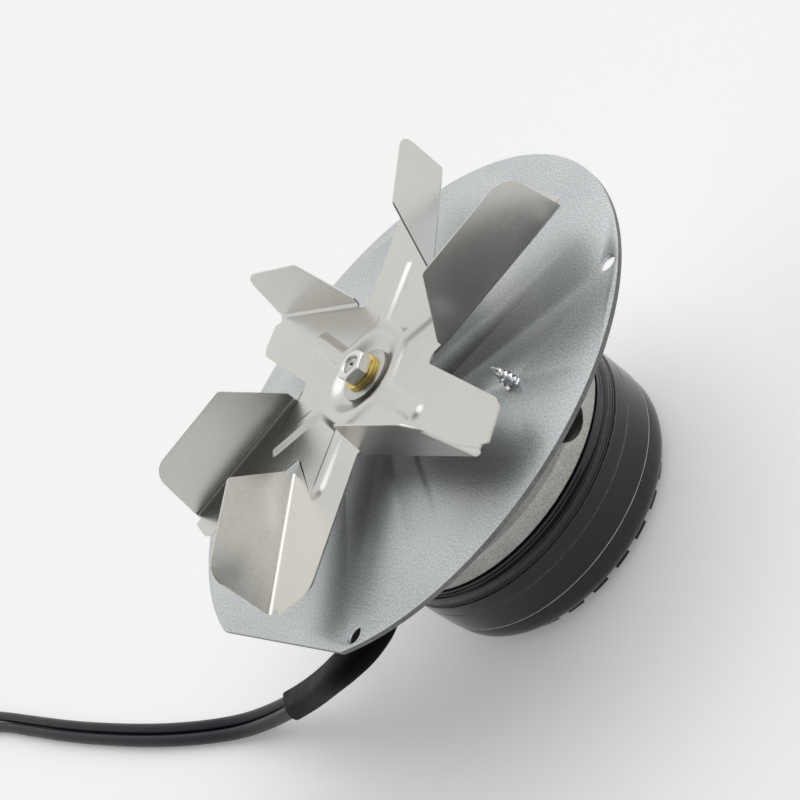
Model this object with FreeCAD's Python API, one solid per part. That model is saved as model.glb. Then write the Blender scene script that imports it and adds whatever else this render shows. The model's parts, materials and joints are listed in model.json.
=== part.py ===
# Hot-gas exhaust fan: an open paddle impeller folded from one stainless sheet turns in front of
# a round mounting plate. An external-rotor motor sits behind the plate and two leads leave it
# through a short sleeve. Lengths are in millimetres. The origin is the centre of the plate's
# front face and +Z runs along the shaft towards the impeller.

import FreeCAD
import Part
import math
import os

V = FreeCAD.Vector

# Mounting plate
plate_radius = 90.0
plate_thickness = 1.5
plate_flat = 83.4
rim_hole_inset = 4.0
rim_hole_radius = 2.8
rim_hole_count = 4
rim_hole_start = -65.0
plate_bore_radius = 5.0

# Screws that hold the motor flange to the plate
flange_screw_circle = 20.0
flange_screw_count = 3
flange_screw_start = 90.0
flange_screw_radius = 2.0
flange_screw_length = 9.5
flange_screw_head_radius = 3.5
flange_screw_head_height = 2.4
flange_screw_hole_clearance = 0.15
cross_recess_width = 0.9
cross_recess_depth = 1.3

# Lone self-tapping earth screw, driven from behind the plate
earth_screw_gap = 10.0
earth_screw_y = -0.6
earth_screw_radius = 2.1
earth_screw_root_radius = 1.55
earth_screw_tip = 8.6
earth_screw_pitch = 1.6
earth_screw_head_radius = 4.0
earth_screw_head_height = 2.6
earth_tab_thickness = 0.8
earth_tab_width = 6.3
earth_tab_reach = 8.0
earth_tab_drop = 10.0

# Cast motor flange with its bearing tube
wall_step = 1.2
wall_draft = 0.5
wall_thickness = 3.2
flange_rear = -39.3
wall_edge = 0.8
web_thickness = 3.0
front_boss_radius = 26.0
front_boss_depth = 4.5
screw_boss_radius = 4.5
screw_boss_rear = -11.5
tube_radius = 15.0
tube_rear = -62.5
tube_bore = 9.5
window_count = 4
window_start = -82.2
window_width = 18.0
window_front = -8.0
window_web_gap = 0.3
rib_width = 2.6
rib_height = 6.0
lead_hole_radius = 3.5
lead_hole_circle = 38.0
lead_hole_angle = -62.0

# Ball bearings
bearing_bore = 4.0
bearing_radius = 11.0
bearing_width = 7.0
bearing_inner_land = 5.9
bearing_outer_land = 9.1
ball_circle = 7.5
ball_radius = 1.95
ball_count = 7
race_clearance = 0.15
front_bearing_face = -3.5
circlip_width = 1.1
circlip_inner = 9.6
circlip_groove = 11.6

# Stator
stator_front = -44.0
stator_rear = -60.0
stator_yoke_share = 0.34
tooth_count = 12
tooth_width = 5.0
tooth_tip_depth = 2.0
tooth_tip_span = 26.0
insulator_thickness = 1.0
coil_yoke_gap = 1.0
coil_tip_gap = 1.0
coil_neighbour_gap = 0.9
coil_end = 1.8
coil_side_clearance = 0.2

# Rotor
air_gap = 0.5
rotor_core_thickness = 10.0
rotor_core_front = -43.5
rotor_core_rear = -60.5
bar_count = 24
bar_inset = 2.6
bar_radius = 1.5
cage_ring_inner_step = 0.6
cage_ring_outer_step = 1.0
cage_ring_width = 1.5
drum_front = -40.0
drum_radius = 50.4
drum_wall = 4.4
drum_lip_step = 1.8
drum_cone_step = 1.0
drum_shoulder_step = 0.4
drum_cone_length = 2.5
drum_shoulder_length = 4.9
drum_groove_depth = 0.4
drum_groove_width = 0.4
drum_groove_pitch = 1.0
drum_line_length = 11.9
drum_line_depth = 0.15
drum_rear = -62.5
cover_step = 0.4
cover_foot_step = 4.4
cover_curve = 6.0
cover_seam_depth = 0.5
cover_seam_width = 0.4
cover_floor = -72.5
cover_wall = 2.0
cover_hub_radius = 8.0
tab_rear = -74.6
tab_width = 6.6
tab_count = 27
tab_gap_angle = 5.4
tab_start = -9.3

# Shaft and the parts clamped on it
shaft_radius = 4.0
shaft_rear = -71.0
shaft_shoulder = 8.9
shaft_end_radius = 3.0
shaft_end = 17.2
shaft_clip_groove = 3.6
shaft_clip_radius = 6.5
shaft_clip_thickness = 0.8
clamp_washer_radius = 9.2
lower_clamp_thickness = 1.0
upper_clamp_thickness = 1.1
flat_washer_radius = 6.4
flat_washer_thickness = 0.9
spring_washer_radius = 6.2
spring_washer_thickness = 0.9
spring_washer_slit = 0.7
hub_bore_clearance = 0.1
nut_across_flats = 10.0
nut_height = 4.3
nut_corner_angle = -17.0
nut_top_circle = 4.9

# Impeller
sheet = 0.7
arm_top = 12.0
arm_count = 6
arm_start = 118.1
arm_corners = [
    (33.2, -5.4, 1.8),
    (32.9, -2.1, 1.8),
    (75.6, 11.4, 7.0),
    (77.8, 24.0, 0.8),
    (74.6, 25.0, 0.8),
]
fold_line = 28.1
fold_near = 24.8
fold_far = 76.1
bend_radius = 1.2
blade_lean = 7.1
blade_height = 21.0
blade_top_near = 37.7
blade_top_far = 72.5
blade_near_step = 2.5
blade_far_step = 1.5
star_turn = -20.4
star_rib_half = 3.4
star_rib_end = 44.0
star_flat = 18.8
star_rise = 1.2
star_slope = 0.9
star_wall = 0.75
dish_radius = 10.3
dish_rim_radius = 12.2
dish_wall = 0.85

# Leads, their sleeve and the connectors on their far ends
lead_radius = 2.5
lead_spread = 2.6
sleeve_clearance = 0.2
sleeve_wall = 0.6
sleeve_corner_count = 8
terminal_wall_gap = 3.0
terminal_width = 20.0
terminal_depth = 14.0
terminal_front = -12.0

# Sizes that follow from those above
plate_back = -plate_thickness
rim_hole_circle = plate_radius - rim_hole_inset
web_front = flange_rear + web_thickness
window_rear = web_front + window_web_gap
rib_start = window_start + 180.0 / window_count
rear_bearing_face = tube_rear + bearing_width
wall_outer_front = drum_radius - wall_step
earth_screw_x = wall_outer_front + earth_screw_gap
wall_outer_rear = wall_outer_front - wall_draft
wall_inner = wall_outer_front - wall_thickness
terminal_face = wall_inner - terminal_wall_gap
rotor_core_outer = drum_radius - drum_wall
rotor_core_inner = rotor_core_outer - rotor_core_thickness
bar_circle = rotor_core_inner + bar_inset
cage_ring_inner = rotor_core_inner + cage_ring_inner_step
cage_ring_outer = rotor_core_outer - cage_ring_outer_step
stator_radius = rotor_core_inner - air_gap
stator_yoke = tube_radius + (stator_radius - tube_radius) * stator_yoke_share
tooth_tip_inner = stator_radius - tooth_tip_depth
coil_inner = stator_yoke + coil_yoke_gap
coil_outer = tooth_tip_inner - coil_tip_gap
coil_side = (coil_inner * math.tan(math.pi / tooth_count) - tooth_width / 2.0
             - coil_side_clearance - coil_neighbour_gap / 2.0)
cover_radius = drum_radius - cover_step
cover_foot_radius = cover_radius - cover_foot_step
tab_inner = cover_foot_radius - tab_width
route = [
    (4.5, -terminal_face, -20.8),
    (4.5, -53.5, -20.8),
    (5.5, -63.5, -22.8),
    (3.0, -73.5, -26.6),
    (-4.5, -80.5, -31.0),
    (-16.5, -83.8, -36.4),
    (-33.0, -84.2, -43.4),
    (-54.0, -85.0, -51.6),
    (-77.0, -87.0, -60.5),
    (-100.0, -90.5, -67.5),
    (-125.0, -96.3, -71.4),
    (-155.0, -103.3, -72.1),
    (-190.0, -110.2, -72.1),
    (-230.0, -116.2, -72.1),
    (-274.0, -120.6, -72.1),
    (-318.0, -125.2, -72.1),
    (-360.0, -131.2, -72.1),
    (-392.0, -136.8, -72.1),
    (-416.0, -140.0, -72.1),
]
route_end_spread = [2.6, 4.6, 8.2]
connector_length = 18.0
power_connector_width = 12.0
power_connector_height = 8.0
sensor_connector_width = 9.0
sensor_connector_height = 6.5
connector_cavity = 2.2


def ring(inner, outer, low, high):
    """Straight tube about Z between two heights."""
    body = Part.makeCylinder(outer, high - low, V(0, 0, low))
    if inner > 0:
        body = body.cut(Part.makeCylinder(inner, high - low, V(0, 0, low)))
    return body


def turned(profile):
    """Solid turned about Z from (radius, height) points."""
    points = [V(radius, 0, height) for radius, height in profile]
    face = Part.Face(Part.makePolygon(points + points[:1]))
    return face.revolve(V(0, 0, 0), V(0, 0, 1), 360)


def turned_copy(shape, angle):
    """Copy of a shape turned about Z by an angle in degrees."""
    copy = shape.copy()
    copy.rotate(V(0, 0, 0), V(0, 0, 1), angle)
    return copy


def around(shape, count, start=0.0):
    """Copies of a shape spaced evenly about Z."""
    return [turned_copy(shape, start + 360.0 * index / count) for index in range(count)]


def joined(shapes):
    """One shape from several, with the seams between flush faces removed."""
    body = shapes[0].fuse(shapes[1:])
    return body.removeSplitter()


def outline(corners):
    """Closed wire at height zero from (x, y, radius) corners."""
    turns = []
    count = len(corners)
    for index in range(count):
        x, y, radius = corners[index]
        here = V(x, y, 0)
        if radius == 0:
            turns.append((here, None, here))
            continue
        before = corners[index - 1]
        after = corners[(index + 1) % count]
        back = (V(before[0], before[1], 0) - here).normalize()
        ahead = (V(after[0], after[1], 0) - here).normalize()
        half = back.getAngle(ahead) / 2.0
        reach = radius / math.tan(half)
        inward = (back + ahead).normalize()
        middle = here + inward * (radius / math.sin(half) - radius)
        turns.append((here + back * reach, middle, here + ahead * reach))
    edges = []
    for index in range(count):
        start, middle, end = turns[index]
        if middle is not None:
            edges.append(Part.Arc(start, middle, end).toShape())
        following = turns[(index + 1) % count][0]
        if (following - end).Length > 0.000001:
            edges.append(Part.makeLine(end, following))
    return Part.Wire(edges)


def prism(corners, low, high):
    """Upright solid from (x, y, radius) corners."""
    wire = outline(corners)
    wire.translate(V(0, 0, low))
    return Part.Face(wire).extrude(V(0, 0, high - low))


def polar(radius, angle, height=0.0):
    """Point from a radius and an angle in degrees."""
    turn = math.radians(angle)
    return V(radius * math.cos(turn), radius * math.sin(turn), height)


def cross_recess(radius, top, direction):
    """Cross-shaped driver recess, cut from a face at a given height along +Z or -Z."""
    depth = cross_recess_depth
    low = top - depth if direction > 0 else top
    long_side = radius * 0.62
    half = cross_recess_width / 2.0
    one = Part.makeBox(2 * long_side, 2 * half, depth, V(-long_side, -half, low))
    other = Part.makeBox(2 * half, 2 * long_side, depth, V(-half, -long_side, low))
    return one.fuse(other)


# Mounting plate: round sheet with one flat, rim holes, shaft hole and screw holes
def make_plate():
    body = ring(plate_bore_radius, plate_radius, plate_back, 0)
    beyond = Part.makeBox(4 * plate_radius, plate_radius, 4, V(-2 * plate_radius, 0, plate_back - 1))
    beyond.translate(V(0, -plate_flat - plate_radius, 0))
    body = body.cut(beyond)
    rim_hole = ring(0, rim_hole_radius, plate_back, 0)
    rim_hole.translate(V(rim_hole_circle, 0, 0))
    screw_hole = ring(0, flange_screw_radius + flange_screw_hole_clearance, plate_back, 0)
    screw_hole.translate(V(flange_screw_circle, 0, 0))
    pilot = ring(0, earth_screw_radius, plate_back, 0)
    pilot.translate(V(earth_screw_x, earth_screw_y, 0))
    holes = around(rim_hole, rim_hole_count, rim_hole_start)
    holes += around(screw_hole, flange_screw_count, flange_screw_start)
    return body.cut(holes + [pilot])


# Pan-head screws through the plate into the flange
def make_flange_screws():
    radius = flange_screw_head_radius
    height = flange_screw_head_height
    head = turned([(0, 0), (radius, 0), (radius, height * 0.55), (radius * 0.8, height), (0, height)])
    head = head.cut(cross_recess(radius, height, 1))
    shank = ring(0, flange_screw_radius, -flange_screw_length, 0)
    screw = joined([head, shank])
    screw.translate(V(flange_screw_circle, 0, 0))
    return Part.makeCompound(around(screw, flange_screw_count, flange_screw_start))


# Self-tapping screw with its point in front of the plate
def make_earth_screw():
    seat = plate_back - earth_tab_thickness
    crest = earth_screw_radius
    root = earth_screw_root_radius
    profile = [(0, seat), (crest, seat), (crest, 0.2), (root, 0.7)]
    height = 0.7 + earth_screw_pitch * 0.35
    while height < earth_screw_tip - 2.4:
        profile.append((root, height))
        profile.append((crest, height + earth_screw_pitch * 0.3))
        profile.append((root, height + earth_screw_pitch * 0.6))
        height += earth_screw_pitch
    profile.append((root, earth_screw_tip - 2.0))
    profile.append((0.0, earth_screw_tip))
    shank = turned(profile)
    radius = earth_screw_head_radius
    low = seat - earth_screw_head_height
    head = turned([(0, low), (radius * 0.8, low), (radius, low + 1.1), (radius, seat), (0, seat)])
    head = head.cut(cross_recess(radius, low, -1))
    screw = joined([shank, head])
    screw.translate(V(earth_screw_x, earth_screw_y, 0))
    return screw


# Earth tab held under the screw's head, its blade bent away from the plate
def make_earth_tab():
    low = plate_back - earth_tab_thickness
    half = earth_tab_width / 2.0
    disc = ring(0, 5.0, low, plate_back)
    bridge = Part.makeBox(earth_tab_reach, earth_tab_width, earth_tab_thickness, V(0, -half, low))
    blade = Part.makeBox(earth_tab_thickness, earth_tab_width, earth_tab_drop,
                         V(earth_tab_reach - earth_tab_thickness, -half, plate_back - earth_tab_drop))
    tab = joined([disc, bridge, blade])
    tab = tab.cut(ring(0, earth_screw_radius, low, plate_back))
    eye = Part.makeCylinder(0.8, 2 * earth_tab_reach, V(0, 0, plate_back - earth_tab_drop * 0.65), V(1, 0, 0))
    tab = tab.cut(eye)
    tab.translate(V(earth_screw_x, earth_screw_y, 0))
    return tab


# Cast flange: outer wall with four windows, web, ribs, bearing tube and screw bosses
def make_flange():
    edge = wall_edge
    wall = turned([
        (wall_inner, plate_back), (wall_outer_front, plate_back),
        (wall_outer_rear, flange_rear + edge), (wall_outer_rear - 0.25 * edge, flange_rear + 0.25 * edge),
        (wall_outer_rear - edge, flange_rear), (wall_inner, flange_rear)])
    web = ring(tube_bore, wall_inner, flange_rear, web_front)
    tube = ring(tube_bore, tube_radius, tube_rear, plate_back)
    front = ring(tube_bore, front_boss_radius, plate_back - front_boss_depth, plate_back)
    boss = ring(0, screw_boss_radius, screw_boss_rear, plate_back)
    boss.translate(V(flange_screw_circle, 0, 0))
    rib = Part.makeBox(wall_inner - tube_radius + 1.0, rib_width, rib_height,
                       V(tube_radius - 0.5, -rib_width / 2.0, web_front))
    parts = [wall, web, tube, front]
    parts += around(boss, flange_screw_count, flange_screw_start)
    parts += around(rib, window_count, rib_start)
    body = joined(parts)
    half = window_width / 2.0
    reach = wall_outer_front + 5.0
    lengthwise = window_front - window_rear - window_width
    slot = Part.makeBox(15.0, window_width, lengthwise, V(reach - 15.0, -half, window_rear + half))
    for height in (window_rear + half, window_front - half):
        slot = slot.fuse(Part.makeCylinder(half, 15.0, V(reach - 15.0, 0, height), V(1, 0, 0)))
    tapped = ring(0, flange_screw_radius, plate_back - flange_screw_length, plate_back)
    tapped.translate(V(flange_screw_circle, 0, 0))
    lead_hole = ring(0, lead_hole_radius, flange_rear, web_front)
    lead_hole.translate(polar(lead_hole_circle, lead_hole_angle))
    circlip_seat = ring(0, circlip_groove, front_bearing_face, front_bearing_face + circlip_width)
    cuts = around(slot.removeSplitter(), window_count, window_start)
    cuts += around(tapped, flange_screw_count, flange_screw_start)
    cuts += [lead_hole, circlip_seat]
    cuts.append(ring(0, bearing_radius, front_bearing_face - bearing_width, plate_back))
    cuts.append(ring(0, bearing_radius, tube_rear, rear_bearing_face))
    return body.cut(cuts)


# Bearing rings with rounded races, and the balls between them
def make_bearing(face):
    low = face - bearing_width
    middle = face - bearing_width / 2.0
    race = Part.makeTorus(ball_circle, ball_radius + race_clearance, V(0, 0, middle))
    outer = ring(bearing_outer_land, bearing_radius, low, face).cut(race)
    inner = ring(bearing_bore, bearing_inner_land, low, face).cut(race)
    balls = []
    for index in range(ball_count):
        balls.append(Part.makeSphere(ball_radius, polar(ball_circle, 360.0 * index / ball_count, middle)))
    return outer, inner, Part.makeCompound(balls)


# Stator lamination stack outline, used for the stack and the insulators on its ends
def stator_stack(low, high):
    parts = [ring(tube_radius, stator_yoke, low, high)]
    length = tooth_tip_inner - stator_yoke + 1.5
    tooth = Part.makeBox(length, tooth_width, high - low, V(stator_yoke - 0.5, -tooth_width / 2.0, low))
    tip = ring(tooth_tip_inner, stator_radius, low, high)
    wedge = Part.makePolygon([V(0, 0, low), polar(60, -tooth_tip_span / 2.0, low),
                              polar(60, tooth_tip_span / 2.0, low), V(0, 0, low)])
    tip = tip.common(Part.Face(wedge).extrude(V(0, 0, high - low)))
    parts += around(tooth, tooth_count)
    parts += around(tip, tooth_count)
    return joined(parts)


# One coil round each stator tooth, seated on the insulators
def make_windings():
    front = stator_front + insulator_thickness
    rear = stator_rear - insulator_thickness
    length = coil_outer - coil_inner
    half = tooth_width / 2.0 + coil_side_clearance
    wide = half + coil_side
    block = Part.makeBox(length, 2 * wide, front - rear + 2 * coil_end, V(coil_inner, -wide, rear - coil_end))
    corners = [edge for edge in block.Edges if abs(edge.tangentAt(edge.FirstParameter).x) > 0.9]
    block = block.makeFillet(1.4, corners)
    coil = block.cut(Part.makeBox(length, 2 * half, front - rear, V(coil_inner, -half, rear)))
    return Part.makeCompound(around(coil, tooth_count))


# Laminated rotor ring with a hole for each cage bar, and the cast cage
def make_rotor_core():
    body = ring(rotor_core_inner, rotor_core_outer, rotor_core_rear, rotor_core_front)
    hole = ring(0, bar_radius, rotor_core_rear, rotor_core_front)
    hole.translate(V(bar_circle, 0, 0))
    return body.cut(around(hole, bar_count))


def make_rotor_cage():
    bar = ring(0, bar_radius, rotor_core_rear, rotor_core_front)
    bar.translate(V(bar_circle, 0, 0))
    front = ring(cage_ring_inner, cage_ring_outer, rotor_core_front, rotor_core_front + cage_ring_width)
    rear = ring(cage_ring_inner, cage_ring_outer, rotor_core_rear - cage_ring_width, rotor_core_rear)
    return joined([front, rear] + around(bar, bar_count))


# Black drum round the rotor core, with a conical lip, two fine grooves and a fine step
def make_drum():
    lip = drum_radius - drum_lip_step
    shoulder = drum_radius - drum_shoulder_step
    profile = [
        (rotor_core_outer, drum_front), (lip - 0.3, drum_front), (lip, drum_front - 0.3),
        (drum_radius - drum_cone_step, drum_front - drum_cone_length),
        (shoulder, drum_front - drum_shoulder_length)]
    for index in range(2):
        height = drum_front - drum_shoulder_length - 0.3 - index * drum_groove_pitch
        profile += [
            (shoulder, height), (shoulder - drum_groove_depth, height),
            (shoulder - drum_groove_depth, height - drum_groove_width), (shoulder, height - drum_groove_width)]
    line = drum_front - drum_line_length
    profile += [
        (drum_radius, profile[-1][1] - 0.2), (drum_radius, line + 0.1),
        (drum_radius - drum_line_depth, line), (drum_radius - drum_line_depth, line - 0.3),
        (drum_radius, line - 0.4), (drum_radius, drum_rear), (rotor_core_outer, drum_rear)]
    return turned(profile)


# Black rear cover: seam groove, curved side, floor, slotted foot rim and the shaft's hub
def make_cover():
    foot = cover_foot_radius
    side = [(cover_radius, drum_rear - cover_seam_width - 0.1)]
    steps = 6
    for index in range(steps + 1):
        turn = math.radians(90.0 * index / steps)
        side.append((foot + (cover_radius - foot) * math.cos(turn),
                     cover_floor + cover_curve - cover_curve * math.sin(turn)))
    shell = turned(
        [(rotor_core_outer, drum_rear), (cover_radius - cover_seam_depth, drum_rear),
         (cover_radius - cover_seam_depth, drum_rear - cover_seam_width)] + side
        + [(0, cover_floor), (0, cover_floor + cover_wall), (foot - cover_wall, cover_floor + cover_wall),
           (rotor_core_outer, cover_floor + cover_curve)])
    hub = turned([(0, cover_floor), (cover_hub_radius, cover_floor), (cover_hub_radius, tube_rear - 0.5),
                  (bearing_inner_land - 0.1, tube_rear - 0.5), (bearing_inner_land - 0.1, tube_rear),
                  (0, tube_rear)])
    foot_ring = ring(tab_inner, foot, tab_rear, cover_floor)
    gap = Part.makePolygon([V(0, 0, tab_rear), polar(60, -tab_gap_angle / 2.0, tab_rear),
                            polar(60, tab_gap_angle / 2.0, tab_rear), V(0, 0, tab_rear)])
    gap = Part.Face(gap).extrude(V(0, 0, cover_floor - tab_rear))
    pitch = 360.0 / tab_count
    foot_ring = foot_ring.cut(around(gap, tab_count, tab_start + pitch / 2.0))
    body = joined([shell, hub, foot_ring])
    return body.cut(ring(0, shaft_radius, shaft_rear, tube_rear))


# Shaft with a clip groove and a threaded front end
def make_shaft():
    clip_top = front_bearing_face + shaft_clip_thickness
    return turned([
        (0, shaft_rear), (shaft_radius - 0.3, shaft_rear), (shaft_radius, shaft_rear + 0.3),
        (shaft_radius, front_bearing_face), (shaft_clip_groove, front_bearing_face),
        (shaft_clip_groove, clip_top), (shaft_radius, clip_top), (shaft_radius, shaft_shoulder),
        (shaft_end_radius, shaft_shoulder), (shaft_end_radius, shaft_end - 0.5),
        (shaft_end_radius - 0.5, shaft_end), (0, shaft_end)])


def make_shaft_clip():
    clip = ring(shaft_clip_groove, shaft_clip_radius, front_bearing_face,
                front_bearing_face + shaft_clip_thickness)
    mouth = Part.makeBox(shaft_clip_radius, 5.0, 2.0, V(0, -2.5, front_bearing_face - 0.5))
    return clip.cut(mouth)


def make_circlip():
    low = front_bearing_face
    clip = ring(circlip_inner, circlip_groove, low, low + circlip_width)
    mouth = Part.makeBox(circlip_groove, 5.0, 3.0, V(0, -2.5, low - 0.5))
    return clip.cut(turned_copy(mouth, 90.0))


# Washers and nut that clamp the impeller on the shaft
def make_spring_washer(low):
    bore = shaft_end_radius + hub_bore_clearance
    body = ring(bore, spring_washer_radius, low, low + spring_washer_thickness)
    slit = Part.makeBox(spring_washer_radius, spring_washer_slit, 3.0, V(0, -spring_washer_slit / 2.0, low - 1))
    slit.rotate(V(0, 0, low), V(1, 0, 0), 35)
    return body.cut(turned_copy(slit, 140.0))


def make_nut(low):
    corner = nut_across_flats / 2.0 / math.cos(math.radians(30))
    top = low + nut_height
    points = [(corner * math.cos(math.radians(nut_corner_angle + 60 * index)),
               corner * math.sin(math.radians(nut_corner_angle + 60 * index)), 0) for index in range(6)]
    body = prism(points, low, top)
    drop = (corner - nut_top_circle) * math.tan(math.radians(30))
    trim = turned([(0, low), (nut_top_circle, low), (corner, low + drop), (corner, top - drop),
                   (nut_top_circle, top), (0, top)])
    body = body.common(trim)
    bore = turned([(0, low), (shaft_end_radius, low), (shaft_end_radius, top - 0.6),
                   (shaft_end_radius + 0.4, top), (0, top)])
    return body.cut(bore)


# Impeller: six flat arms, six folded blades, a raised hollow star and a dished centre
def star_wire(inset, height):
    half = star_rib_half - inset
    flat = star_flat - inset
    inner = (flat - half * math.sin(math.radians(30))) / math.cos(math.radians(30))
    centre = star_rib_end - star_rib_half
    edges = []
    last = None
    for index in range(arm_count):
        turn = arm_start + star_turn - 360.0 * index / arm_count
        points = [V(inner, half, height), V(centre, half, height), V(centre + half, 0, height),
                  V(centre, -half, height), V(inner, -half, height)]
        moved = []
        for point in points:
            radius = math.hypot(point.x, point.y)
            angle = math.degrees(math.atan2(point.y, point.x)) + turn
            moved.append(polar(radius, angle, height))
        if last is not None:
            edges.append(Part.makeLine(last, moved[0]))
        else:
            first = moved[0]
        edges.append(Part.makeLine(moved[0], moved[1]))
        edges.append(Part.Arc(moved[1], moved[2], moved[3]).toShape())
        edges.append(Part.makeLine(moved[3], moved[4]))
        last = moved[4]
    edges.append(Part.makeLine(last, first))
    return Part.Wire(edges)


def make_blade(bend_start):
    low = arm_top - sheet
    centre_z = arm_top + bend_radius
    lean = math.radians(blade_lean)
    stop = math.pi / 2.0 - lean

    def at(radius, angle):
        return V(0, -bend_start - radius * math.sin(angle), centre_z - radius * math.cos(angle))

    rise = V(0, -math.sin(lean), math.cos(lean)) * (blade_height * 1.3)
    inner_end = at(bend_radius, stop)
    outer_end = at(bend_radius + sheet, stop)
    edges = [
        Part.makeLine(V(0, -bend_start, low), V(0, -bend_start, arm_top)),
        Part.Arc(V(0, -bend_start, arm_top), at(bend_radius, stop / 2.0), inner_end).toShape(),
        Part.makeLine(inner_end, inner_end + rise),
        Part.makeLine(inner_end + rise, outer_end + rise),
        Part.makeLine(outer_end + rise, outer_end),
        Part.Arc(outer_end, at(bend_radius + sheet, stop / 2.0), V(0, -bend_start, low)).toShape(),
    ]
    body = Part.Face(Part.Wire(edges)).extrude(V(fold_far + 20.0, 0, 0))
    corners = [
        (fold_near, arm_top - 3.0, 0), (fold_far, arm_top - 3.0, 0),
        (fold_far, arm_top + blade_far_step, 0), (blade_top_far, arm_top + blade_height, 7.0),
        (blade_top_near, arm_top + blade_height, 1.5), (fold_near, arm_top + blade_near_step, 0)]
    side = prism(corners, 0, 60.0)
    side.rotate(V(0, 0, 0), V(1, 0, 0), 90)
    return body.common(side)


def make_impeller():
    low = arm_top - sheet
    lean = math.radians(blade_lean)
    mean = bend_radius + sheet / 2.0
    bend_start = fold_line - mean * math.cos(lean) + (bend_radius - mean * math.sin(lean)) * math.tan(lean)
    corners = []
    for index in range(arm_count):
        turn = math.radians(arm_start - 360.0 * index / arm_count)
        for along, across, radius in arm_corners + [(fold_far, bend_start, 0), (fold_near, bend_start, 0)]:
            corners.append((along * math.cos(turn) + across * math.sin(turn),
                            along * math.sin(turn) - across * math.cos(turn), radius))
    body = prism(corners, low, arm_top)
    top = arm_top + star_rise
    slope = star_slope * sheet / star_rise
    raised = Part.makeLoft([star_wire(-slope, low), star_wire(star_slope, top)], True, True)
    hollow_low = low - 0.5
    hollow = Part.makeLoft([star_wire(star_wall - slope - 0.3, hollow_low),
                            star_wire(star_slope + star_wall, top - sheet)], True, True)
    body = body.fuse(raised).cut(hollow)
    dish_top = shaft_shoulder + lower_clamp_thickness + sheet
    body = body.cut(turned([(0, low - 3), (dish_rim_radius, low - 3), (dish_rim_radius, top + 1), (0, top + 1)]))
    bore = shaft_end_radius + hub_bore_clearance
    dish = turned([
        (bore, dish_top - sheet), (dish_radius + 0.45, dish_top - sheet),
        (dish_rim_radius + dish_wall, top - sheet), (dish_rim_radius + dish_wall, top),
        (dish_rim_radius, top), (dish_radius, dish_top), (bore, dish_top)])
    blades = [turned_copy(make_blade(bend_start), arm_start - 360.0 * index / arm_count)
              for index in range(arm_count)]
    return joined([body, dish] + blades)


# Leads: straight runs joined by tangent arcs
def side_route(side):
    points = []
    count = len(route)
    for index in range(count):
        spread = lead_spread
        if index >= count - len(route_end_spread):
            spread = route_end_spread[index - count + len(route_end_spread)]
        before = V(*route[max(index - 1, 0)])
        here = V(*route[index])
        after = V(*route[min(index + 1, count - 1)])
        first = here - before if index > 0 else after - here
        second = after - here if index < count - 1 else first
        first = V(first.x, first.y, 0).normalize()
        second = V(second.x, second.y, 0).normalize()
        middle = (first + second).normalize()
        half = first.getAngle(second) / 2.0
        across = V(-middle.y, middle.x, 0) * (side * spread / math.cos(half))
        points.append(here + across)
    return points


def route_edges(points, label=None):
    edges = []
    start = points[0]
    for index in range(1, len(points) - 1):
        here = points[index]
        back = here - points[index - 1]
        ahead = points[index + 1] - here
        reach = 0.45 * min(back.Length, ahead.Length)
        back.normalize()
        ahead.normalize()
        half = back.getAngle(ahead) / 2.0
        radius = reach / math.tan(half)
        entry = here - back * reach
        leave = here + ahead * reach
        middle = here + (ahead - back).normalize() * (radius / math.cos(half) - radius)
        edges.append(Part.makeLine(start, entry))
        edges.append(Part.Arc(entry, middle, leave).toShape())
        start = leave
        if label:
            print(label, "corner", index, "radius", round(radius, 1))
    edges.append(Part.makeLine(start, points[-1]))
    return edges


def tube_along(edges, radius):
    wire = Part.Wire(edges)
    start = edges[0].valueAt(edges[0].FirstParameter)
    direction = edges[0].tangentAt(edges[0].FirstParameter)
    profile = Part.Wire([Part.makeCircle(radius, start, direction)])
    return wire.makePipeShell([profile], True, True)


def make_sleeve(cores):
    edges = route_edges([V(*point) for point in route])
    edges = edges[:2 * sleeve_corner_count]
    last = V(*route[sleeve_corner_count])
    following = V(*route[sleeve_corner_count + 1])
    arc = edges[-1]
    edges.append(Part.makeLine(arc.valueAt(arc.LastParameter), (last + following) * 0.5))
    x, y, z = route[0]
    half = lead_radius + sleeve_clearance + sleeve_wall
    left = x - lead_spread
    right = x + lead_spread
    profile = Part.Wire([
        Part.makeLine(V(left, y, z - half), V(right, y, z - half)),
        Part.Arc(V(right, y, z - half), V(right + half, y, z), V(right, y, z + half)).toShape(),
        Part.makeLine(V(right, y, z + half), V(left, y, z + half)),
        Part.Arc(V(left, y, z + half), V(left - half, y, z), V(left, y, z - half)).toShape()])
    pipe = Part.BRepOffsetAPI.MakePipeShell(Part.Wire(edges))
    pipe.setBiNormalMode(V(0, 0, 1))
    pipe.add(profile)
    pipe.build()
    pipe.makeSolid()
    return pipe.shape().cut(cores)


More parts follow.
